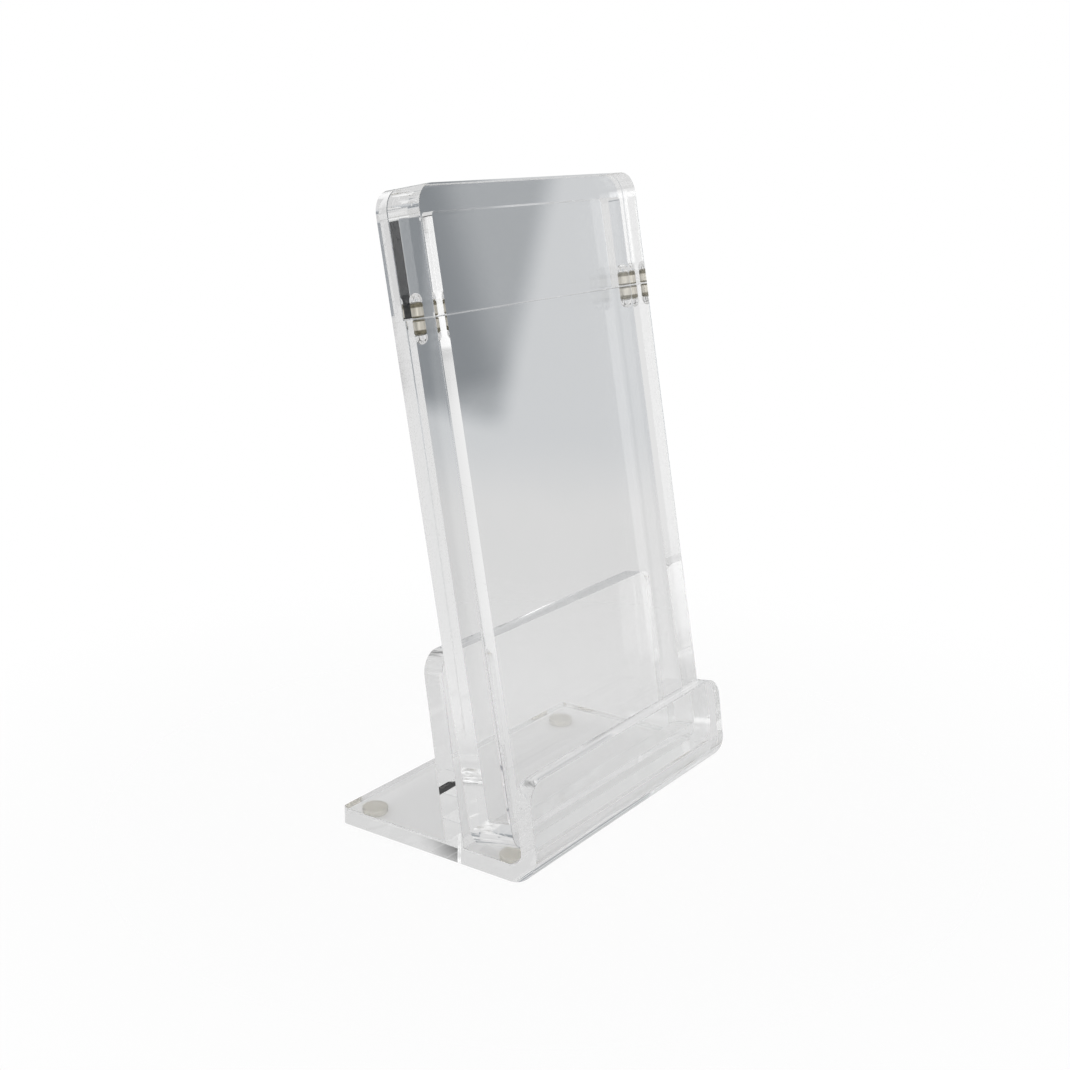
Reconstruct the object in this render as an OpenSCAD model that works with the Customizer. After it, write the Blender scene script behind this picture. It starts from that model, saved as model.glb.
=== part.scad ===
// Clear acrylic display case for one trading card pack, with its leaning stand.
// X runs across the front, Y runs back and Z runs up.
// The origin lies on the table, under the middle of the stand.

/* [Case] */
// Width of the case across its front
case_w = 82; // [70:1:110]
// Height of the closed case along its own axis
case_h = 141; // [110:1:180]
// Height of the lift-off cap, from the seam to the top
cap_h = 26.5; // [18:0.5:45]
// Thickness of the front panel and of the back panel
panel_t = 3; // [2:0.5:5]
// Thickness of the frame between the panels, which is the depth of the pocket
frame_t = 5.5; // [5:0.5:10]
// Width of the frame's legs and rails
frame_w = 5.5; // [5:0.5:10]
// Radius of the case's outer corners
case_r = 5; // [2:0.5:8]
// Lean of the case from upright, in degrees
case_lean = 10.5; // [8.5:0.5:11]
// Radius of the pocket's corners
pocket_r = 1; // [0.5:0.5:3]

/* [Magnets] */
// Diameter of each magnet
magnet_d = 3; // [2:0.5:3.5]
// Length of each magnet
magnet_l = 3; // [2:0.5:3.5]
// Depth of each magnet's hole, with its round end
magnet_hole_h = 5.2; // [5:0.2:8]
// Depth of each magnet's end face below the seam
magnet_recess = 0.15; // [0.1:0.05:0.4]

/* [Stand] */
// How far the stand reaches past each side of the case
stand_side = 0; // [0:0.5:10]
// Depth of the stand on the table, from its bend to its back edge
stand_d = 54.5; // [48:0.5:80]
// Thickness of the sheet that is bent into the base and the lip
stand_t = 4; // [3:0.5:6]
// Inner radius of the bend between the base and the lip
bend_r = 3; // [2:0.5:4]
// Height of the lip's top edge above the underside of the base
lip_h = 23; // [15:1:40]
// Thickness of the back rest
rest_t = 5; // [3:0.5:6]
// Height of the back rest's top edge above the top of the base
rest_h = 43; // [25:1:50]
// Lean of the lip and of the back rest from upright, in degrees
stand_lean = 8.5; // [7:0.5:10.5]
// Radius of the top corners of the lip and of the back rest
stand_r = 5; // [2:0.5:8]
// Radius of the back corners of the base
base_r = 1.5; // [0.5:0.5:5]

/* [Feet] */
// Diameter of each bumper foot
foot_d = 6; // [5:0.5:7.5]
// Height of each bumper foot
foot_h = 1.6; // [1.2:0.2:3]
// Radius of the foot's lower edge
foot_edge_r = 0.8; // [0.4:0.2:1]
// Distance from the sides of the stand to the middle of each foot
foot_inset_side = 7; // [6:0.5:12]
// Distance from the ends of the flat base to the middle of each foot
foot_inset_end = 4; // [4:0.5:10]

/* [Clearances] */
// Open seam between the cap and the case
seam_gap = 0.1; // [0.05:0.05:0.3]
// Sliding gap between the cap and the back panel
slide_gap = 0.15; // [0.1:0.05:0.3]
// Spare width between the lip and the back rest, beyond the thickness of the case
slot_gap = 4; // [3.5:0.5:8]
// Gap between the leaning case and the top edge of the back rest
rest_gap = 1; // [0.3:0.1:1.4]
// Gap under the case's lowest edge
seat_gap = 0.1; // [0.05:0.05:0.3]
// Gap around each magnet in its hole
magnet_gap = 0.05; // [0.02:0.01:0.1]

/* [Hidden] */
$fn = 96;
cut = 1;
// How far a round runs past the flat that it meets, so that no sliver is left
meet = 0.0005;
case_t = 2 * panel_t + frame_t;
seam_z = case_h - cap_h;
pocket_w = case_w - 2 * frame_w;
magnet_x = (case_w - frame_w) / 2;
magnet_y = panel_t + frame_t / 2;
stand_w = case_w + 2 * stand_side;
bend_out = bend_r + stand_t;
base_z = foot_h + stand_t;
bend_y = -stand_d / 2 + bend_out;
bend_z = foot_h + bend_out;
lip_l = (foot_h + lip_h - bend_z - bend_out * sin(stand_lean)) / cos(stand_lean);
rest_n = case_t + slot_gap - bend_r;
rest_low = (base_z - bend_z + rest_n * sin(stand_lean)) / cos(stand_lean);
rest_top = rest_low + rest_h / cos(stand_lean);
rest_top_y = bend_y + rest_n * cos(stand_lean) + rest_top * sin(stand_lean);
case_z = base_z + seat_gap + case_t * sin(case_lean);
case_y = rest_top_y - (case_t + rest_gap + (base_z + rest_h - case_z) * sin(case_lean)) / cos(case_lean);

// Square corner with its round side taken out, to cut one outer corner of a sheet
module corner_cut(r) {
  difference() {
    translate([-r, -r]) square(r + cut);
    translate([-r, -r]) circle(r + meet);
  }
}

// Sheet outline from z0 to z1, with round corners at its low and high end where r_low and r_high say so
module sheet_outline(w, z0, z1, r_low, r_high) {
  difference() {
    translate([-w / 2, z0]) square([w, z1 - z0]);
    if (r_high > 0) for (side = [0, 1]) mirror([side, 0]) translate([w / 2, z1]) corner_cut(r_high);
    if (r_low > 0) for (side = [0, 1]) mirror([side, 0]) translate([w / 2, z0]) mirror([0, 1]) corner_cut(r_low);
  }
}

// Stands a flat outline upright, as a sheet of thickness t whose front face is at y
module upright_sheet(y, t) {
  translate([0, y + t, 0]) rotate([90, 0, 0]) linear_extrude(t) children();
}

// Places children in the stand's leaning frame, about the bend: x across, y through, z up the slope
module in_stand() {
  translate([0, bend_y, bend_z]) rotate([-stand_lean, 0, 0]) children();
}

// Places children in the case's own frame: its front face at y 0 and its foot at z 0
module in_case() {
  translate([0, case_y, case_z]) rotate([-case_lean, 0, 0]) children();
}

// One magnet hole that opens at the seam and runs away from it in direction up
module magnet_hole(side, up) {
  r = magnet_d / 2 + magnet_gap;
  translate([side * magnet_x, magnet_y, 0]) mirror([0, 0, up < 0 ? 1 : 0]) rotate_extrude()
    intersection() {
      translate([0, -cut]) square([r + cut, magnet_hole_h + cut]);
      union() {
        translate([0, -cut]) square([r, magnet_hole_h - r + cut]);
        translate([0, magnet_hole_h - r]) circle(r);
      }
    }
}

// One magnet, set below the seam in its hole
module magnet(side, z, up) {
  in_case() translate([side * magnet_x, magnet_y, up > 0 ? z + magnet_recess : z - magnet_recess - magnet_l])
    cylinder(h = magnet_l, d = magnet_d);
}

// Bumper foot: a low disc with a round lower edge, glued under the base
module foot(side, y) {
  translate([side * (stand_w / 2 - foot_inset_side), y, 0]) rotate_extrude() {
    translate([0, foot_edge_r]) square([foot_d / 2, foot_h - foot_edge_r]);
    square([foot_d / 2 - foot_edge_r, foot_h]);
    translate([foot_d / 2 - foot_edge_r, foot_edge_r]) circle(foot_edge_r);
  }
}

// Corner of the bend at distance r from its centre, as a kite with its tip on the sharp corner
function bend_kite(r) = [
  [0, 0],
  [-r, 0],
  [-r, -r * (1 + sin(stand_lean)) / cos(stand_lean)],
  [r * sin(stand_lean), -r * cos(stand_lean)]
];

// Side profile of the bent sheet, drawn in the stand's leaning frame with the bend's centre at 0, 0
module bend_profile() {
  outer = bend_kite(bend_out);
  inner = bend_kite(bend_r);
  base_run = (stand_d - bend_out) * [cos(stand_lean), sin(stand_lean)];
  difference() {
    union() {
      polygon([
        [-bend_out, lip_l], outer[2], outer[3] + base_run, inner[3] + base_run, inner[2], [-bend_r, lip_l]
      ]);
      polygon(bend_kite(bend_r + stand_t / 2));
    }
    circle(bend_r + meet);
    difference() {
      polygon(bend_kite(bend_out + cut));
      circle(bend_out + meet);
    }
  }
}

// Base and lip: one sheet, bent up at the front
module stand_base() {
  color([0.93, 0.95, 0.96]) difference() {
    in_stand() translate([-stand_w / 2, 0, 0]) rotate([90, 0, 90]) linear_extrude(stand_w) bend_profile();
    for (side = [0, 1]) mirror([side, 0, 0]) {
      in_stand() translate([stand_w / 2, cut - bend_r, lip_l]) rotate([90, 0, 0])
        linear_extrude(stand_t + 2 * cut) corner_cut(stand_r);
      translate([stand_w / 2, stand_d / 2, foot_h - cut]) linear_extrude(stand_t + 2 * cut) corner_cut(base_r);
    }
  }
}

// Back rest: a leaning sheet whose foot is cut level to stand on the base
module stand_back_rest() {
  color([0.93, 0.95, 0.96]) difference() {
    in_stand() upright_sheet(rest_n, rest_t)
      sheet_outline(stand_w, rest_low - rest_t, rest_top, 0, stand_r);
    translate([-stand_w, -stand_d, base_z - 4 * rest_t]) cube([2 * stand_w, 2 * stand_d, 4 * rest_t]);
  }
}

// Back panel: one sheet over the full height, behind the case and the cap
module case_back_panel() {
  color([0.9, 0.93, 0.95]) in_case() upright_sheet(panel_t + frame_t, panel_t)
    sheet_outline(case_w, 0, case_h, case_r, case_r);
}

// Frame of the case: a U around the pocket, with a magnet hole in the end of each leg
module case_frame() {
  color([0.84, 0.88, 0.9]) in_case() difference() {
    upright_sheet(panel_t, frame_t) difference() {
      sheet_outline(case_w, 0, seam_z, case_r, 0);
      sheet_outline(pocket_w, frame_w, seam_z + cut, pocket_r, 0);
    }
    for (side = [-1, 1]) translate([0, 0, seam_z]) magnet_hole(side, -1);
  }
}

// Front panel of the case, up to the seam
module case_front_panel() {
  color([0.9, 0.93, 0.95]) in_case() upright_sheet(0, panel_t)
    sheet_outline(case_w, 0, seam_z, case_r, 0);
}

// Frame of the cap: the same U upside down, clear of the back panel so that it slides
module cap_frame() {
  color([0.84, 0.88, 0.9]) in_case() difference() {
    upright_sheet(panel_t, frame_t - slide_gap) difference() {
      sheet_outline(case_w, seam_z + seam_gap, case_h, 0, case_r);
      sheet_outline(pocket_w, seam_z - cut, case_h - frame_w, 0, pocket_r);
    }
    for (side = [-1, 1]) translate([0, 0, seam_z + seam_gap]) magnet_hole(side, 1);
  }
}

// Front panel of the cap
module cap_front_panel() {
  color([0.9, 0.93, 0.95]) in_case() upright_sheet(0, panel_t)
    sheet_outline(case_w, seam_z + seam_gap, case_h, 0, case_r);
}

module case_magnet_left() { color("silver") magnet(-1, seam_z, -1); }
module case_magnet_right() { color("silver") magnet(1, seam_z, -1); }
module cap_magnet_left() { color("silver") magnet(-1, seam_z + seam_gap, 1); }
module cap_magnet_right() { color("silver") magnet(1, seam_z + seam_gap, 1); }

module foot_front_left() { color([0.8, 0.8, 0.78]) foot(-1, bend_y + foot_inset_end); }
module foot_front_right() { color([0.8, 0.8, 0.78]) foot(1, bend_y + foot_inset_end); }
module foot_back_left() { color([0.8, 0.8, 0.78]) foot(-1, stand_d / 2 - foot_inset_end); }
module foot_back_right() { color([0.8, 0.8, 0.78]) foot(1, stand_d / 2 - foot_inset_end); }

stand_base();
stand_back_rest();
foot_front_left();
foot_front_right();
foot_back_left();
foot_back_right();
case_back_panel();
case_frame();
case_front_panel();
case_magnet_left();
case_magnet_right();
cap_frame();
cap_front_panel();
cap_magnet_left();
cap_magnet_right();
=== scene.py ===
"""Clear acrylic display case for one card pack, leaning in its clear stand."""

import math

import bmesh
import bpy
from mathutils import Matrix, Vector


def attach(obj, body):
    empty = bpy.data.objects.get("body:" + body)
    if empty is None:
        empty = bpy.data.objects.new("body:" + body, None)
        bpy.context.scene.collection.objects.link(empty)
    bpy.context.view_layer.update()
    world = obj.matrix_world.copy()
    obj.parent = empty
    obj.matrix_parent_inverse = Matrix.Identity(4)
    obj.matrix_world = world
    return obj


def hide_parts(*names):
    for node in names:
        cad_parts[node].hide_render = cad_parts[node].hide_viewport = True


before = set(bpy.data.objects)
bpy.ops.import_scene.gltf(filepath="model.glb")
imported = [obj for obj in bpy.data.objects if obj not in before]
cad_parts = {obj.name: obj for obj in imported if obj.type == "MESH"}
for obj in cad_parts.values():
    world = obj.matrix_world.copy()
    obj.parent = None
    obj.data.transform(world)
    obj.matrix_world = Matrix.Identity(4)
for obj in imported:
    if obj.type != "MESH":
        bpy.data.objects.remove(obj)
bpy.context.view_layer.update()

MM = 0.001
PHOTO_SIDE = 1070
# Light is mirrored many times inside the clear sheets before it leaves them
BOUNCES = 100

# The photograph's camera, fitted to the object's edges: place in mm, angles in radians, the rest in pixels
CAMERA_AT = (-284.34, -195.48, 161.46)
CAMERA_YAW, CAMERA_PITCH, CAMERA_ROLL = 0.964898, 0.267445, 0.012274
CAMERA_F, CAMERA_PX, CAMERA_PY = 1550.72, 538.90, 530.55
# Sensor width in mm, and the nearest and farthest that the camera sees, in m
SENSOR_W, CLIP = 36, (0.01, 20)


class Socket:
    """An output socket that adds Math nodes when it is used in sums."""

    def __init__(self, tree, out):
        self.tree, self.out = tree, out

    def maths(self, operation, *values):
        return self.tree.add("ShaderNodeMath", {"operation": operation}, dict(enumerate(values)))

    def __add__(self, other):
        return self.maths("ADD", self, other)

    def __sub__(self, other):
        return self.maths("SUBTRACT", self, other)

    def __rsub__(self, other):
        return self.maths("SUBTRACT", other, self)

    def __mul__(self, other):
        return self.maths("MULTIPLY", self, other)

    __radd__ = __add__
    __rmul__ = __mul__


class Tree:
    """A node tree with one method that adds any node."""

    def __init__(self, owner):
        owner.use_nodes = True
        self.nodes, self.links = owner.node_tree.nodes, owner.node_tree.links
        self.nodes.clear()

    def add(self, kind, settings=None, inputs=None, output=0):
        node = self.nodes.new(kind)
        for name, value in (settings or {}).items():
            setattr(node, name, value)
        for name, value in (inputs or {}).items():
            if isinstance(value, Socket):
                self.links.new(value.out, node.inputs[name])
            else:
                node.inputs[name].default_value = value
        return Socket(self, node.outputs[output]) if node.outputs else None


# Sizes in mm, as in the CAD
CASE_W, CASE_H, CAP_H = 82, 141, 26.5
PANEL_T, FRAME_T, FRAME_W = 3, 5.5, 5.5
CASE_R, POCKET_R = 5, 1
CASE_LEAN, STAND_LEAN = math.radians(10.5), math.radians(8.5)
MAGNET_D, MAGNET_L, MAGNET_HOLE_H, MAGNET_RECESS, MAGNET_GAP = 3, 3, 5.2, 0.15, 0.05
STAND_W, STAND_D, STAND_T, BEND_R, LIP_H = 82, 54.5, 4, 3, 23
REST_T, REST_H, STAND_R, BASE_R = 5, 43, 5, 1.5
FOOT_D, FOOT_H, FOOT_EDGE_R, FOOT_INSET_SIDE, FOOT_INSET_END = 6, 1.6, 0.8, 7, 4
SEAM_GAP, SLIDE_GAP, SLOT_GAP, REST_GAP, SEAT_GAP = 0.1, 0.15, 4, 1, 0.1

CASE_T = 2 * PANEL_T + FRAME_T
SEAM = CASE_H - CAP_H
MAGNET_X, MAGNET_N = (CASE_W - FRAME_W) / 2, PANEL_T + FRAME_T / 2
BEND_OUT = BEND_R + STAND_T
BASE_TOP = FOOT_H + STAND_T
BEND_Y, BEND_Z = BEND_OUT - STAND_D / 2, FOOT_H + BEND_OUT
LIP_L = (FOOT_H + LIP_H - BEND_Z - BEND_OUT * math.sin(STAND_LEAN)) / math.cos(STAND_LEAN)
REST_N = CASE_T + SLOT_GAP - BEND_R
REST_LOW = (BASE_TOP - BEND_Z + REST_N * math.sin(STAND_LEAN)) / math.cos(STAND_LEAN)
REST_TOP = REST_LOW + REST_H / math.cos(STAND_LEAN)
REST_TOP_Y = BEND_Y + REST_N * math.cos(STAND_LEAN) + REST_TOP * math.sin(STAND_LEAN)
CASE_Z = BASE_TOP + SEAT_GAP + CASE_T * math.sin(CASE_LEAN)
CASE_Y = REST_TOP_Y - (
    CASE_T + REST_GAP + (BASE_TOP + REST_H - CASE_Z) * math.sin(CASE_LEAN)
) / math.cos(CASE_LEAN)

# How far a cutter runs past what it cuts, and how far glued sheets reach into each other to become one
CUT, GLUE_BITE = 1, 0.01
# Steps of a quarter round on the sheets, of the bend, of a turned piece, and of a small piece's rounds
ARC_STEPS, BEND_STEPS, TURN_STEPS, DOME_STEPS, RIM_STEPS = 20, 32, 48, 10, 8
# Width of the edge that a scraper leaves, the least angle of a sharp edge, and the most that counts as flat
BROKEN_EDGE, SHARP, FLAT = 0.05, math.radians(30), math.radians(0.1)
# The round at the foot of the air left in a magnet's hole, and the magnet's plated rim with its facet
BUBBLE_R, MAGNET_RIM, MAGNET_FACET = 0.2, 0.22, 0.08
# Heights on the magnet between which the tarnish at its near end and at its far end fades out
NEAR_DARK, NEAR_CLEAN, FAR_CLEAN, FAR_DARK = 0.3, 0.42, MAGNET_L - 1.0, MAGNET_L - 0.8
# The foot's hollow sole, at its middle and halfway out, and the rounding under its glued face
SOLE_MIDDLE, SOLE_HALFWAY, FOOT_TOP_EDGE = 0.08, 0.05, ((0, 0.12), (0.06, 0.02), (0.14, 0))


def leaning(y, z, lean):
    """The frame of a leaning piece, whose foot is at y, z."""
    return Matrix.Translation((0, y, z)) @ Matrix.Rotation(-lean, 4, "X")


IN_CASE = leaning(CASE_Y, CASE_Z, CASE_LEAN)
IN_STAND = leaning(BEND_Y, BEND_Z, STAND_LEAN)


def corner(x, z, r, start):
    """Points of the quarter round from angle start that takes off the sharp corner x, z."""
    if r == 0:
        return [(x, z)]
    cx = x - r if start in (0, 270) else x + r
    cz = z - r if start in (0, 90) else z + r
    turn = [math.radians(start + 90 * i / ARC_STEPS) for i in range(ARC_STEPS + 1)]
    return [(cx + r * math.cos(a), cz + r * math.sin(a)) for a in turn]


def sheet_outline(width, low, high, r_low, r_high):
    """A sheet's outline, with its low and its high corners rounded."""
    w = width / 2
    return (
        corner(w, high, r_high, 0) + corner(-w, high, r_high, 90)
        + corner(-w, low, r_low, 180) + corner(w, low, r_low, 270)
    )


def frame_outline(height):
    """The U around the pocket, open at its top."""
    w, p = CASE_W / 2, CASE_W / 2 - FRAME_W
    return (
        [(w, height), (p, height)] + corner(p, FRAME_W, POCKET_R, 270)[::-1]
        + corner(-p, FRAME_W, POCKET_R, 180)[::-1] + [(-p, height), (-w, height)]
        + corner(-w, 0, CASE_R, 180) + corner(w, 0, CASE_R, 270)
    )


def solid_from(work):
    """A new object from the mesh under work, with its faces pointing outwards."""
    bmesh.ops.recalc_face_normals(work, faces=work.faces)
    mesh = bpy.data.meshes.new("shape")
    work.to_mesh(mesh)
    work.free()
    solid = bpy.data.objects.new("shape", mesh)
    bpy.context.scene.collection.objects.link(solid)
    return solid


def prism(outline, near, far, to_point):
    """The outline drawn out from depth near to depth far. to_point turns u, v, depth into x, y, z."""
    work = bmesh.new()
    ends = [[work.verts.new(to_point(u, v, depth)) for u, v in outline] for depth in (near, far)]
    for ring in ends:
        work.faces.new(ring)
    for i in range(len(outline)):
        j = (i + 1) % len(outline)
        work.faces.new((ends[0][i], ends[0][j], ends[1][j], ends[1][i]))
    return solid_from(work)


def upright(u, v, depth):
    return (u, depth, v)


def sideways(u, v, depth):
    return (depth, u, v)


def level(u, v, depth):
    return (u, v, depth)


def turned(profile):
    """A closed turned solid about z. The profile runs from the axis at its foot to the axis at its top."""
    work = bmesh.new()
    rings = []
    for r, z in profile:
        turn = [2 * math.pi * i / TURN_STEPS for i in range(TURN_STEPS if r else 1)]
        rings.append([work.verts.new((r * math.cos(a), r * math.sin(a), z)) for a in turn])
    for low, high in zip(rings, rings[1:]):
        for i in range(TURN_STEPS):
            j = (i + 1) % TURN_STEPS
            ring = [low[i % len(low)], low[j % len(low)], high[j % len(high)], high[i % len(high)]]
            work.faces.new([v for k, v in enumerate(ring) if v not in ring[:k]])
    return solid_from(work)


def set_mesh(solid, mesh):
    old, solid.data = solid.data, mesh
    bpy.data.meshes.remove(old)


def apply_modifiers(solid):
    """Turns the modifiers' result into the solid's plain mesh."""
    bpy.context.view_layer.update()
    mesh = bpy.data.meshes.new_from_object(solid.evaluated_get(bpy.context.evaluated_depsgraph_get()))
    solid.modifiers.clear()
    set_mesh(solid, mesh)


def joined(solid, other, operation="UNION"):
    """Adds the other solid to this one, or cuts it away, and uses it up."""
    tool = solid.modifiers.new("tool", "BOOLEAN")
    tool.operation, tool.solver, tool.object = operation, "EXACT", other
    apply_modifiers(solid)
    bpy.data.objects.remove(other)
    return solid


def broken_edges(sheet):
    """Takes the sharp edges off a sheet, as a scraper does, and marks the new faces."""
    work = bmesh.new()
    work.from_mesh(sheet.data)
    bmesh.ops.remove_doubles(work, verts=work.verts, dist=1e-4)
    bmesh.ops.dissolve_limit(work, angle_limit=FLAT, verts=work.verts, edges=work.edges)
    sharp = [e for e in work.edges if e.is_manifold and e.is_convex and e.calc_face_angle(0) > SHARP]
    mark = work.faces.layers.float.new("worn_edge")
    made = bmesh.ops.bevel(
        work, geom=sharp, offset=BROKEN_EDGE, offset_type="OFFSET", segments=1, profile=0.5,
        affect="EDGES", clamp_overlap=True,
    )
    for face in made["faces"]:
        face[mark] = 1.0
    mesh = bpy.data.meshes.new("sheet")
    work.to_mesh(mesh)
    work.free()
    set_mesh(sheet, mesh)
    return sheet


def glued(sheets):
    """Sheets glued face to face: light crosses the glue unbent, so the clear body has no wall there."""
    body = sheets[0]
    for sheet in sheets[1:]:
        body = joined(body, sheet)
    return broken_edges(body)


def magnet_place(side, up):
    """The frame of a magnet's hole, from the seam into the leg on that side."""
    return Matrix.Translation((side * MAGNET_X, MAGNET_N, SEAM + (SEAM_GAP if up > 0 else 0)))


def add_bubble(solid, side, up):
    """The air left in a magnet's hole behind the magnet. Its wall faces the air."""
    r = MAGNET_D / 2 + MAGNET_GAP
    low = MAGNET_RECESS + MAGNET_L + MAGNET_GAP
    dome = [math.radians(90 * i / DOME_STEPS) for i in range(DOME_STEPS)]
    profile = (
        [(0, low), (r - BUBBLE_R, low), (r, low + BUBBLE_R)]
        + [(r * math.cos(a), MAGNET_HOLE_H - r + r * math.sin(a)) for a in dome[1:]] + [(0, MAGNET_HOLE_H)]
    )
    bubble = turned(profile)
    bubble.data.transform(magnet_place(side, up) @ Matrix.Diagonal((1, 1, up, 1)))
    if up > 0:
        bubble.data.flip_normals()
    work = bmesh.new()
    work.from_mesh(solid.data)
    work.from_mesh(bubble.data)
    work.to_mesh(solid.data)
    work.free()
    bpy.data.objects.remove(bubble)


def finished(solid, name, place, material, body, nodes):
    """Gives a piece its name, place, shading and material, puts it in its body, and hides the CAD nodes that
    it stands for.
    """
    solid.name = solid.data.name = name
    solid.data.transform(Matrix.Scale(MM, 4) @ place)
    for face in solid.data.polygons:
        face.use_smooth = True
    solid.data.set_sharp_from_angle(angle=SHARP)
    solid.data.materials.clear()
    solid.data.materials.append(material)
    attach(solid, body)
    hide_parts(*nodes)


def case_sheets():
    """The back panel over the full height, and the frame and front panel up to the seam."""
    back = sheet_outline(CASE_W, 0, CASE_H, CASE_R, CASE_R)
    front = sheet_outline(CASE_W, 0, SEAM, CASE_R, 0)
    body = glued([
        prism(back, PANEL_T + FRAME_T, CASE_T, upright),
        prism(frame_outline(SEAM), PANEL_T - GLUE_BITE, PANEL_T + FRAME_T + GLUE_BITE, upright),
        prism(front, 0, PANEL_T, upright),
    ])
    for side in (-1, 1):
        add_bubble(body, side, -1)
    return body


def cap_sheets():
    """The front panel and the upside-down frame above the seam, clear of the back panel."""
    front = sheet_outline(CASE_W, SEAM + SEAM_GAP, CASE_H, 0, CASE_R)
    frame_cap = [(x, CASE_H - z) for x, z in frame_outline(CAP_H - SEAM_GAP)]
    body = glued([
        prism(front, 0, PANEL_T, upright),
        prism(frame_cap, PANEL_T - GLUE_BITE, PANEL_T + FRAME_T - SLIDE_GAP, upright),
    ])
    for side in (-1, 1):
        add_bubble(body, side, 1)
    return body


def corner_cutter(r):
    """A bar along z that leaves a round of radius r on a sharp corner at 0, 0."""
    outline = [(CUT, CUT), (-r, CUT)] + corner(0, 0, r, 0)[::-1] + [(CUT, -r)]
    return prism(outline, -CUT, STAND_T + CUT, level)


def bent_sheet():
    """Base and lip: one sheet, bent up at the front. The profile is y, z in the stand's leaning frame."""
    run = STAND_D - BEND_OUT
    step = Vector((math.cos(STAND_LEAN), math.sin(STAND_LEAN))) * run

    def bend(r):
        turn = [math.pi + (math.pi / 2 + STAND_LEAN) * i / BEND_STEPS for i in range(BEND_STEPS + 1)]
        return [Vector((r * math.cos(a), r * math.sin(a))) for a in turn]

    outer, inner = bend(BEND_OUT), bend(BEND_R)
    lip_corner = IN_STAND @ Matrix.Translation((0, -BEND_R, LIP_L)) @ Matrix.Rotation(math.pi / 2, 4, "X")
    base_corner = Matrix.Translation((0, STAND_D / 2, FOOT_H))
    profile = (
        [(-BEND_OUT, LIP_L)] + outer + [outer[-1] + step, inner[-1] + step]
        + inner[::-1] + [(-BEND_R, LIP_L)]
    )
    sheet = prism([tuple(p) for p in profile], -STAND_W / 2, STAND_W / 2, sideways)
    sheet.data.transform(IN_STAND)
    for side in (-1, 1):
        mirror = Matrix.Diagonal((side, 1, 1, 1))
        for r, place in ((STAND_R, lip_corner), (BASE_R, base_corner)):
            cutter = corner_cutter(r)
            cutter.data.transform(mirror @ Matrix.Translation((STAND_W / 2, 0, 0)) @ place)
            if side < 0:
                cutter.data.flip_normals()
            joined(sheet, cutter, "DIFFERENCE")
    return sheet


def back_rest():
    """A leaning sheet whose foot is cut level to stand on the base."""
    outline = sheet_outline(STAND_W, REST_LOW - REST_T, REST_TOP, 0, STAND_R)
    sheet = prism(outline, REST_N, REST_N + REST_T, upright)
    sheet.data.transform(IN_STAND)
    square = [(-STAND_W, -STAND_D), (STAND_W, -STAND_D), (STAND_W, STAND_D), (-STAND_W, STAND_D)]
    joined(sheet, prism(square, BASE_TOP - 4 * REST_T, BASE_TOP - GLUE_BITE, level), "DIFFERENCE")
    return sheet


def spread_out(solid, width, depth, rows, material):
    """Repeats a small piece at the corners of a rectangle, or at the ends of a line, with Geometry Nodes."""
    tree = bpy.data.node_groups.new("spread_out", "GeometryNodeTree")
    face = tree.interface
    for name, kind in (
        ("Geometry", "NodeSocketGeometry"), ("Width", "NodeSocketFloat"), ("Depth", "NodeSocketFloat"),
        ("Rows", "NodeSocketInt"), ("Material", "NodeSocketMaterial"),
    ):
        face.new_socket(name=name, in_out="INPUT", socket_type=kind)
    face.new_socket(name="Geometry", in_out="OUTPUT", socket_type="NodeSocketGeometry")
    nodes, link = tree.nodes, tree.links.new
    inside, outside = nodes.new("NodeGroupInput"), nodes.new("NodeGroupOutput")
    grid = nodes.new("GeometryNodeMeshGrid")
    grid.inputs["Vertices X"].default_value = 2
    on_points = nodes.new("GeometryNodeInstanceOnPoints")
    real, paint = nodes.new("GeometryNodeRealizeInstances"), nodes.new("GeometryNodeSetMaterial")
    link(inside.outputs["Width"], grid.inputs["Size X"])
    link(inside.outputs["Depth"], grid.inputs["Size Y"])
    link(inside.outputs["Rows"], grid.inputs["Vertices Y"])
    link(grid.outputs["Mesh"], on_points.inputs["Points"])
    link(inside.outputs["Geometry"], on_points.inputs["Instance"])
    link(on_points.outputs["Instances"], real.inputs["Geometry"])
    link(real.outputs["Geometry"], paint.inputs["Geometry"])
    link(inside.outputs["Material"], paint.inputs["Material"])
    link(paint.outputs["Geometry"], outside.inputs["Geometry"])
    spread = solid.modifiers.new("spread_out", "NODES")
    spread.node_group = tree
    values = {"Width": width, "Depth": depth, "Rows": rows, "Material": material}
    for item in face.items_tree:
        if item.in_out == "INPUT" and item.name in values:
            spread[item.identifier] = values[item.name]
    apply_modifiers(solid)
    return solid


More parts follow.
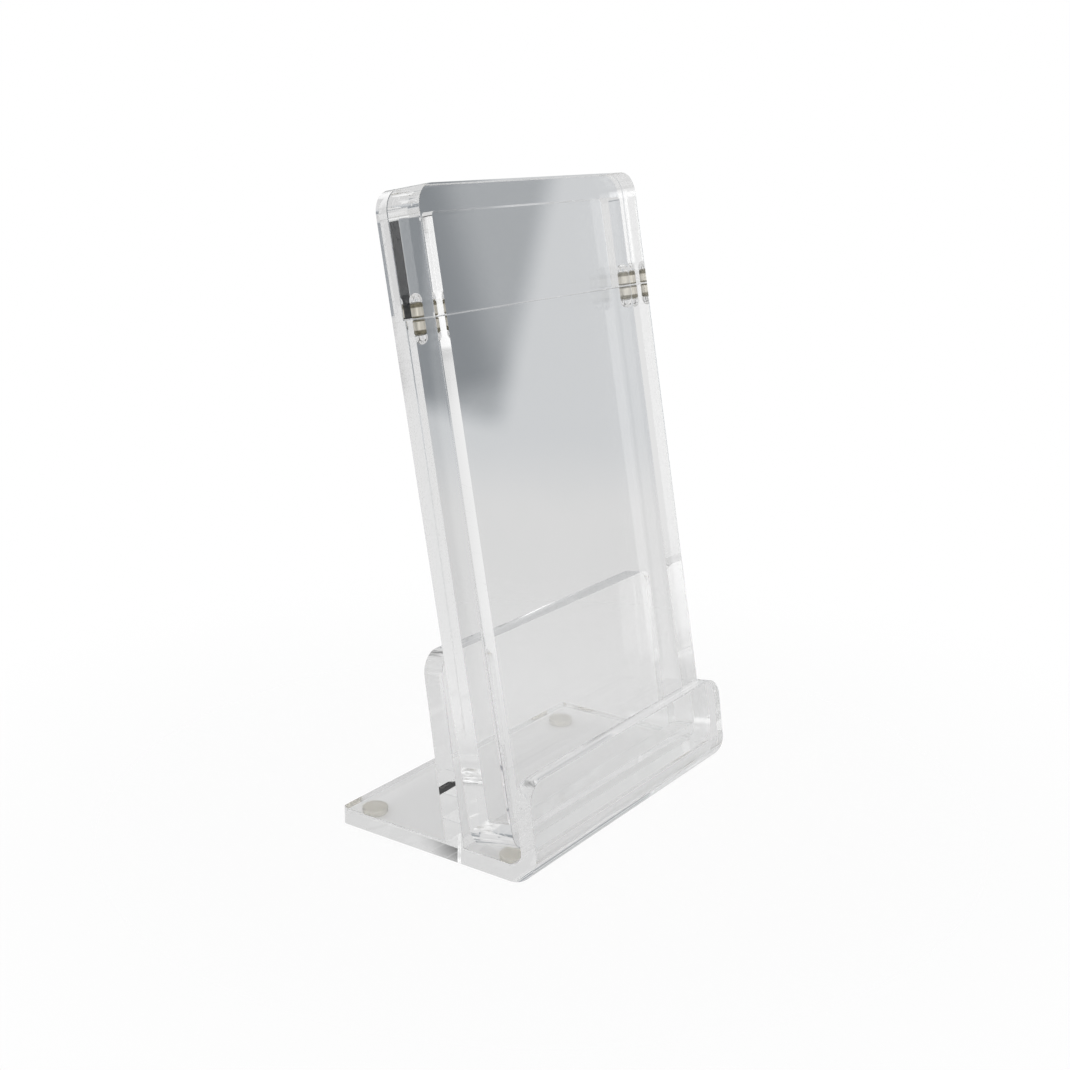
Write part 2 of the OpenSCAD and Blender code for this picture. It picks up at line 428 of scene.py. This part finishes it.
def magnet_pair(up, material):
    """Two nickel magnets with broken rims and tarnished ends, one in each leg."""
    r, rim, facet = MAGNET_D / 2, MAGNET_RIM, MAGNET_FACET
    profile = [
        (0, 0), (r - rim, 0), (r - facet, facet), (r, rim), (r, NEAR_DARK), (r, NEAR_CLEAN),
        (r, FAR_CLEAN), (r, FAR_DARK), (r, MAGNET_L - rim), (r - facet, MAGNET_L - facet),
        (r - rim, MAGNET_L), (0, MAGNET_L),
    ]
    magnet = turned(profile)
    dark = magnet.data.attributes.new("tarnish", "FLOAT", "POINT")
    near_middle, far_middle = (NEAR_DARK + NEAR_CLEAN) / 2, (FAR_CLEAN + FAR_DARK) / 2
    for i, vertex in enumerate(magnet.data.vertices):
        dark.data[i].value = 0.0 if near_middle < vertex.co.z < far_middle else 1.0
    magnet.data.transform(Matrix.Translation((0, 0, MAGNET_RECESS)))
    pair = spread_out(magnet, 2 * MAGNET_X, 0, 1, material)
    if up < 0:
        pair.data.transform(Matrix.Diagonal((1, 1, -1, 1)))
        pair.data.flip_normals()
    pair.data.transform(magnet_place(0, up))
    return pair


def bumper_feet(material):
    """Four low clear bumpers with a round lower edge and a slightly hollow sole."""
    r, edge = FOOT_D / 2, FOOT_EDGE_R
    rim = [math.radians(-90 + 90 * i / RIM_STEPS) for i in range(RIM_STEPS + 1)]
    profile = (
        [(0, SOLE_MIDDLE), ((r - edge) / 2, SOLE_HALFWAY)]
        + [(r - edge + edge * math.cos(a), edge + edge * math.sin(a)) for a in rim]
        + [(r - inward, FOOT_H - down) for inward, down in FOOT_TOP_EDGE] + [(0, FOOT_H)]
    )
    foot = turned(profile)
    front, back = BEND_Y + FOOT_INSET_END, STAND_D / 2 - FOOT_INSET_END
    feet = spread_out(foot, STAND_W - 2 * FOOT_INSET_SIDE, back - front, 2, material)
    feet.data.transform(Matrix.Translation((0, (front + back) / 2, 0)))
    return feet


def smooth_step(t, value, low, high, to_low=0.0, to_high=1.0):
    """Goes softly from to_low to to_high while the value goes from low to high."""
    return t.add("ShaderNodeMapRange", {"interpolation_type": "SMOOTHSTEP"}, {
        "Value": value, "From Min": low, "From Max": high, "To Min": to_low, "To Max": to_high,
    })


def noise(t, place, scale, detail):
    inputs = {"Vector": place, "Scale": scale, "Detail": detail}
    return t.add("ShaderNodeTexNoise", inputs=inputs, output="Fac")


def mixed_colour(t, factor, a, b):
    return t.add("ShaderNodeMix", {"data_type": "RGBA"}, {"Factor": factor, 6: a, 7: b}, output=2)


def scratches(t, place, turn, scale):
    """Thin straight hairlines: noise drawn out along one direction, of which only the crests count."""
    drawn = t.add("ShaderNodeMapping", inputs={"Vector": place, "Rotation": turn, "Scale": scale})
    return smooth_step(t, noise(t, drawn, 1.0, 1.0), 0.70, 0.74)


def clear_acrylic():
    """Cast acrylic: faint waves, smudges and hairlines on its faces, and grit on its scraped edges."""
    material = bpy.data.materials.new("clear_acrylic")
    t = Tree(material)
    place = t.add("ShaderNodeTexCoord", output="Object")
    worn = t.add("ShaderNodeAttribute", {"attribute_name": "worn_edge"}, output="Fac")
    smudge = smooth_step(t, noise(t, place, 45.0, 4.0), 0.52, 0.72)
    grit = noise(t, place, 2500.0, 2.0)
    hairlines = scratches(t, place, (0.3, 0.5, 0.2), (60, 60, 4000)) + scratches(
        t, place, (0.1, -0.9, 0.4), (50, 50, 3500))
    rough = smudge * 0.012 + worn * (0.10 + 0.15 * grit) + hairlines * 0.03
    waves = noise(t, place, 35.0, 1.0)
    height = waves + hairlines * 0.02 + worn * grit * 0.15
    normal = t.add("ShaderNodeBump", inputs={"Strength": 0.04, "Distance": 0.0002, "Height": height})
    tint = mixed_colour(t, worn * 0.5 + smudge * 0.3, (1.0, 1.0, 1.0, 1), (0.955, 0.965, 0.96, 1))
    shader = t.add("ShaderNodeBsdfPrincipled", inputs={
        "Base Color": tint, "Roughness": rough, "IOR": 1.491, "Transmission Weight": 1.0, "Normal": normal,
    })
    t.add("ShaderNodeOutputMaterial", inputs={"Surface": shader})
    return material


def nickel():
    """Dull nickel plating, clouded and grained, and brown where it is tarnished."""
    material = bpy.data.materials.new("nickel")
    t = Tree(material)
    place = t.add("ShaderNodeTexCoord", output="Object")
    cloud = noise(t, place, 900.0, 3.0)
    grain = noise(t, place, 9000.0, 2.0)
    tarnish = t.add("ShaderNodeAttribute", {"attribute_name": "tarnish"}, output="Fac")
    plate = mixed_colour(t, cloud, (0.84, 0.81, 0.74, 1), (0.70, 0.66, 0.57, 1))
    colour = mixed_colour(t, tarnish * (0.7 + 0.3 * cloud), plate, (0.20, 0.18, 0.12, 1))
    normal = t.add("ShaderNodeBump", inputs={"Strength": 0.25, "Distance": 0.00003, "Height": grain})
    rough = 0.34 + cloud * 0.16 + tarnish * 0.2
    shader = t.add("ShaderNodeBsdfPrincipled", inputs={
        "Base Color": colour, "Roughness": rough, "Metallic": 1.0, "Normal": normal,
    })
    t.add("ShaderNodeOutputMaterial", inputs={"Surface": shader})
    return material


def clear_rubber():
    """Soft clear rubber, clouded and a little dusty."""
    material = bpy.data.materials.new("clear_rubber")
    t = Tree(material)
    place = t.add("ShaderNodeTexCoord", output="Object")
    cloud = noise(t, place, 500.0, 3.0)
    dust = smooth_step(t, noise(t, place, 6000.0, 2.0), 0.58, 0.7)
    colour = mixed_colour(t, cloud * 0.5 + dust * 0.3, (0.90, 0.88, 0.82, 1), (0.76, 0.73, 0.65, 1))
    height = cloud + dust * 0.3
    normal = t.add("ShaderNodeBump", inputs={"Strength": 0.3, "Distance": 0.00004, "Height": height})
    shader = t.add("ShaderNodeBsdfPrincipled", inputs={
        "Base Color": colour, "Roughness": 0.22 + cloud * 0.2 + dust * 0.2, "IOR": 1.45,
        "Transmission Weight": 0.7, "Normal": normal,
    })
    t.add("ShaderNodeOutputMaterial", inputs={"Surface": shader})
    return material


# The plain level that falls on the floor, and the grey level of the room that the polished faces show
PLAIN_LEVEL, ROOM_LEVEL = 0.82, 0.68
# Soft boxes and dark cards of the studio, as seen from the case, in degrees: azimuth from the back through
# the right, elevation, half width, half height, turn, softness of the edge. Last, the change that it makes.
STUDIO = (
    (238, 3, 6, 8, 0, 14, 1.3),
    (238, 42, 12, 10, 0, 30, 0.5),
    (300.8, -8, 7.1, 22, 8.8, 0.7, 0.1),
    (307.3, -3, 1.9, 5.5, 6, 0.25, 0.34),
    (304.5, -18, 2.5, 9, 8.8, 0.4, 0.1),
    (319.5, -8, 10.3, 20, 4, 0.3, -0.63),
    (175, -32, 25, 12, 0, 32, 0.35),
)
# The far wall behind the case and the shade on it, which are a little blue
WALL = (56, -1, 25, 10.5, 0, 3.5, -0.08)
SHADE = (49.3, 0, 6.05, 9.6, 12, 1.2, -0.28)
NEUTRAL, BLUISH, WALL_BLUE, SHADE_BLUE = (1, 1, 1, 1), (0.93, 0.99, 1.05, 1), 0.45, 0.55
# A black card stands at the front right: where it is seen from, how far and in which direction it is, its
# size, its shift to the right, its drop, and how wide its soft edge is, in mm
CARD_FROM, CARD_AWAY, CARD_AZIMUTH, CARD_ELEVATION = (-27.6, -0.2, 125), 600, 129.8, 8
CARD_W, CARD_H, CARD_SHIFT, CARD_DROP, CARD_SOFT = 52, 120, 4, 5, 22
# Distances in m at which the white paper on the floor starts to fade and has faded, its margin, and how
# much of its tone the camera sees lifted to white
FLOOR_FULL, FLOOR_GONE, FLOOR_MARGIN, FLOOR_LIFT = 0.07, 0.2, 0.02, 0.92


def view_axes(azimuth, elevation, turn):
    """The directions ahead, to the right and above of a view, with angles in radians."""
    ahead = Vector((
        math.sin(azimuth) * math.cos(elevation), math.cos(azimuth) * math.cos(elevation), math.sin(elevation),
    ))
    right = Vector((math.cos(azimuth), -math.sin(azimuth), 0))
    above = right.cross(ahead)
    return (
        ahead,
        right * math.cos(turn) - above * math.sin(turn),
        right * math.sin(turn) + above * math.cos(turn),
    )


def along(t, way, axis):
    """How far way reaches along the axis."""
    return t.add("ShaderNodeVectorMath", {"operation": "DOT_PRODUCT"}, {0: way, 1: axis}, output="Value")


def within(t, way, axis, full, gone):
    """1 up to full on both sides of the middle, and softly down to 0 at gone."""
    offset = along(t, way, axis)
    offset = offset.maths("ABSOLUTE", offset)
    return smooth_step(t, offset, full, gone, 1.0, 0.0)


def card(t, way, azimuth, elevation, half_w, half_h, turn, soft, change):
    """A rectangle with soft edges, somewhere around the case."""
    ahead, right, above = view_axes(math.radians(azimuth), math.radians(elevation), math.radians(turn))
    shape = smooth_step(t, along(t, way, ahead), 0.0, 0.3)
    for axis, half in ((right, half_w), (above, half_h)):
        full, gone = math.sin(math.radians(half)), math.sin(math.radians(half + soft))
        shape = shape * within(t, way, axis, full, gone)
    return shape * change


def studio_world():
    """White for the camera, a plain level for dull faces, and the grey lit room for polished ones."""
    world = bpy.data.worlds.new("studio")
    bpy.context.scene.world = world
    t = Tree(world)
    way = t.add("ShaderNodeTexCoord", output="Generated")
    wall, shade = card(t, way, *WALL), card(t, way, *SHADE)
    total = ROOM_LEVEL + wall + shade
    for place in STUDIO:
        total = total + card(t, way, *place)
    total = total.maths("MAXIMUM", total, 0.0)
    camera = t.add("ShaderNodeLightPath", output="Is Camera Ray")
    mirrored = t.add("ShaderNodeLightPath", output="Is Glossy Ray")
    through = t.add("ShaderNodeLightPath", output="Is Transmission Ray")
    polished = mirrored.maths("MAXIMUM", mirrored, through) * (1 - camera)
    blue = (wall * (WALL_BLUE / WALL[-1]) + shade * (SHADE_BLUE / SHADE[-1])) * polished
    colour = mixed_colour(t, blue, NEUTRAL, BLUISH)
    strength = camera + polished * total + (1 - camera - polished) * PLAIN_LEVEL
    shader = t.add("ShaderNodeBackground", inputs={"Color": colour, "Strength": strength})
    t.add("ShaderNodeOutputWorld", inputs={"Surface": shader})


def black_card():
    """A dull black card that shows only where a polished face mirrors it."""
    ahead, right, above = view_axes(math.radians(CARD_AZIMUTH), math.radians(CARD_ELEVATION), 0)
    middle = (Vector(CARD_FROM) + ahead * CARD_AWAY + right * CARD_SHIFT - above * CARD_DROP) * MM
    half_w, half_h, soft = CARD_W / 2 * MM, CARD_H / 2 * MM, CARD_SOFT * MM
    corners = [
        middle + right * (u * (half_w + soft)) + above * (v * (half_h + soft))
        for u, v in ((-1, -1), (1, -1), (1, 1), (-1, 1))
    ]
    mesh = bpy.data.meshes.new("black_card")
    mesh.from_pydata(corners, [], [(0, 1, 2, 3)])
    stand_in = bpy.data.objects.new("black_card", mesh)
    bpy.context.scene.collection.objects.link(stand_in)
    material = bpy.data.materials.new("black_felt")
    t = Tree(material)
    place = t.add("ShaderNodeNewGeometry", output="Position")
    place = t.add("ShaderNodeVectorMath", {"operation": "SUBTRACT"}, {0: place, 1: middle}, output="Vector")
    mirrored = t.add("ShaderNodeLightPath", output="Glossy Depth")
    felt_share = mirrored.maths("MINIMUM", mirrored, 1.0)
    for axis, half in ((right, half_w), (above, half_h)):
        felt_share = felt_share * within(t, place, axis, half, half + soft)
    open_air = t.add("ShaderNodeBsdfTransparent")
    felt = t.add("ShaderNodeBsdfDiffuse", inputs={"Color": (0.003, 0.003, 0.003, 1)})
    faded = t.add("ShaderNodeMixShader", inputs={0: felt_share, 1: open_air, 2: felt})
    t.add("ShaderNodeOutputMaterial", inputs={"Surface": faded})
    mesh.materials.append(material)
    stand_in.visible_camera = stand_in.visible_diffuse = stand_in.visible_shadow = False


def studio_floor():
    """White paper under the object that fades into the white background, so that it has no edge."""
    bpy.ops.mesh.primitive_circle_add(vertices=96, radius=FLOOR_GONE + FLOOR_MARGIN, fill_type="NGON")
    floor = bpy.context.object
    floor.name = "floor"
    material = bpy.data.materials.new("pale_floor")
    t = Tree(material)
    place = t.add("ShaderNodeTexCoord", output="Object")
    distance = t.add("ShaderNodeVectorMath", {"operation": "LENGTH"}, {0: place}, output="Value")
    gone = smooth_step(t, distance, FLOOR_FULL, FLOOR_GONE)
    paper = t.add("ShaderNodeBsdfDiffuse", inputs={"Color": (0.86, 0.86, 0.86, 1)})
    glow = t.add("ShaderNodeEmission", inputs={"Color": (1, 1, 1, 1), "Strength": 1.0})
    clear = t.add("ShaderNodeBsdfTransparent")
    camera = t.add("ShaderNodeLightPath", output="Is Camera Ray")
    white = t.add("ShaderNodeMixShader", inputs={0: camera * FLOOR_LIFT, 1: paper, 2: glow})
    faded = t.add("ShaderNodeMixShader", inputs={0: gone, 1: white, 2: clear})
    t.add("ShaderNodeOutputMaterial", inputs={"Surface": faded})
    floor.data.materials.append(material)


def photo_camera():
    """The camera of the photograph, whose middle lies off the picture's middle."""
    forward, right, up = view_axes(CAMERA_YAW, -CAMERA_PITCH, -CAMERA_ROLL)
    data = bpy.data.cameras.new("camera")
    data.sensor_width = SENSOR_W
    data.lens = SENSOR_W * CAMERA_F / PHOTO_SIDE
    data.shift_x = -(CAMERA_PX - PHOTO_SIDE / 2) / PHOTO_SIDE
    data.shift_y = (CAMERA_PY - PHOTO_SIDE / 2) / PHOTO_SIDE
    data.clip_start, data.clip_end = CLIP
    camera = bpy.data.objects.new("camera", data)
    bpy.context.scene.collection.objects.link(camera)
    turn = Matrix((right, up, -forward)).transposed()
    camera.matrix_world = Matrix.Translation(Vector(CAMERA_AT) * MM) @ turn.to_4x4()
    bpy.context.scene.camera = camera


acrylic, metal, rubber = clear_acrylic(), nickel(), clear_rubber()
in_stand = Matrix.Identity(4)
finished(
    case_sheets(), "case_glued_sheets", IN_CASE, acrylic, "case",
    ["case_back_panel", "case_frame", "case_front_panel"],
)
finished(
    cap_sheets(), "cap_glued_sheets", IN_CASE, acrylic, "cap",
    ["cap_frame", "cap_front_panel"],
)
finished(
    glued([bent_sheet(), back_rest()]), "stand_glued_sheets", in_stand, acrylic, "stand",
    ["stand_base", "stand_back_rest"],
)
finished(
    magnet_pair(-1, metal), "case_magnets", IN_CASE, metal, "case",
    ["case_magnet_left", "case_magnet_right"],
)
finished(
    magnet_pair(1, metal), "cap_magnets", IN_CASE, metal, "cap",
    ["cap_magnet_left", "cap_magnet_right"],
)
finished(
    bumper_feet(rubber), "bumper_feet", in_stand, rubber, "stand",
    ["foot_front_left", "foot_front_right", "foot_back_left", "foot_back_right"],
)
studio_world()
black_card()
studio_floor()
photo_camera()

scene = bpy.context.scene
scene.view_settings.view_transform = "Standard"
scene.cycles.max_bounces = scene.cycles.glossy_bounces = scene.cycles.transmission_bounces = BOUNCES
scene.cycles.blur_glossy = 0
